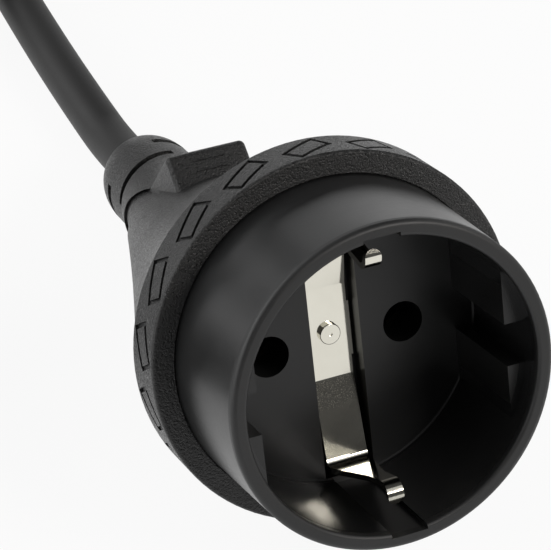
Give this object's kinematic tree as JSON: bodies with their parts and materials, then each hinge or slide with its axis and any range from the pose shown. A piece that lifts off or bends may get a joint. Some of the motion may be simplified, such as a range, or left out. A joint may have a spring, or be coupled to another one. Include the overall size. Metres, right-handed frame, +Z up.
{
  "type": "power adapter cable",
  "caption": "Short mains adapter lead: a round earthed trailing socket with a flared grip and strain relief, on a black cord that ends in a rectangular inlet plug.",
  "frame": {"origin": "centre of the lying socket's outline on the surface it lies on, without the cord, its coil and its plug", "axes": "+Z up, +Y back along the socket towards its cord, +X to the right of the mouth; the mouth looks along -Y and a little upwards"},
  "size_m": [0.1007, 0.2273, 0.0523],
  "materials": {
    "cup_plastic": "smooth satin black",
    "grip_rubber": "fine-grained matt black",
    "cord_jacket": "smooth satin black",
    "plug_plastic": "fine-grained matt black",
    "nickel_plate": "bright nickel plate",
    "contact_brass": "plain",
    "brown_core": "plain",
    "blue_core": "plain",
    "green_yellow_core": "plain",
    "tie_band": "satin black nylon"
  },
  "bodies": {
    "root": {"socket_cup": "cup_plastic", "contact_cover": "cup_plastic", "earth_strap": "nickel_plate", "earth_rivet": "nickel_plate", "live_contact": "contact_brass", "neutral_contact": "contact_brass", "grip_body": "grip_rubber", "live_core": "brown_core", "neutral_core": "blue_core", "earth_core": "green_yellow_core", "cord_lead": "cord_jacket", "cord_coil": "cord_jacket", "cord_tail": "cord_jacket", "coil_tie": "tie_band", "plug_body": "plug_plastic", "plug_carrier": "plug_plastic", "plug_live_pin": "nickel_plate", "plug_neutral_pin": "nickel_plate", "plug_earth_pin": "nickel_plate", "plug_live_core": "brown_core", "plug_neutral_core": "blue_core", "plug_earth_core": "green_yellow_core"}
  },
  "joints": []
}
